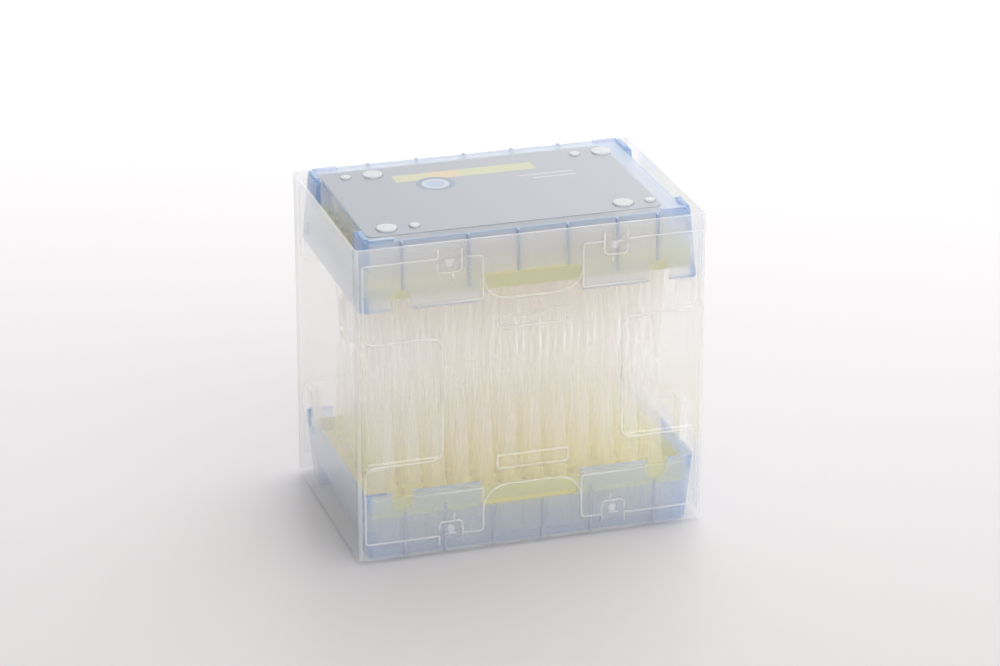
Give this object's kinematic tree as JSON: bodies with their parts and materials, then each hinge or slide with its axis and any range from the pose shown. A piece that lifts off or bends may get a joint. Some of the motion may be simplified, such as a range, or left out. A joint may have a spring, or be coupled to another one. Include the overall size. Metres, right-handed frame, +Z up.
{
  "type": "box of pipette tips",
  "caption": "Clear rectangular sleeve holding blue trays face to face, each with a yellow tip plate and a full grid of thin-walled pipette tips",
  "frame": {"origin": "middle of the footprint, on the surface that the lower tray's feet stand on", "axes": "+X along the long side, to the right seen from the front; -Y is the front with the notches and latches; +Z up"},
  "size_m": [0.1278, 0.0862, 0.1197],
  "materials": {
    "clear_sleeve": "clear",
    "blue_tray": "translucent",
    "yellow_plate": "satin",
    "natural_tip": "translucent",
    "grey_label": "satin"
  },
  "bodies": {
    "lower_pack": {"lower_tray": "blue_tray", "lower_tip_plate": "yellow_plate", "lower_tips_column_01": "natural_tip", "lower_tips_column_02": "natural_tip", "lower_tips_column_03": "natural_tip", "lower_tips_column_04": "natural_tip", "lower_tips_column_05": "natural_tip", "lower_tips_column_06": "natural_tip", "lower_tips_column_07": "natural_tip", "lower_tips_column_08": "natural_tip", "lower_tips_column_09": "natural_tip", "lower_tips_column_10": "natural_tip", "lower_tips_column_11": "natural_tip", "lower_tips_column_12": "natural_tip"},
    "sleeve": {"sleeve": "clear_sleeve"},
    "upper_pack": {"upper_tray": "blue_tray", "upper_label": "grey_label", "upper_tip_plate": "yellow_plate", "upper_tips_column_01": "natural_tip", "upper_tips_column_02": "natural_tip", "upper_tips_column_03": "natural_tip", "upper_tips_column_04": "natural_tip", "upper_tips_column_05": "natural_tip", "upper_tips_column_06": "natural_tip", "upper_tips_column_07": "natural_tip", "upper_tips_column_08": "natural_tip", "upper_tips_column_09": "natural_tip", "upper_tips_column_10": "natural_tip", "upper_tips_column_11": "natural_tip", "upper_tips_column_12": "natural_tip"}
  },
  "joints": [
    {"name": "sleeve_lift", "type": "slide", "parent": "lower_pack", "child": "sleeve", "axis": [0, 0, 1], "range_m": [0, 0.06]},
    {"name": "upper_tray_lift", "type": "slide", "parent": "sleeve", "child": "upper_pack", "axis": [0, 0, 1], "range_m": [0, 0.06]}
  ]
}
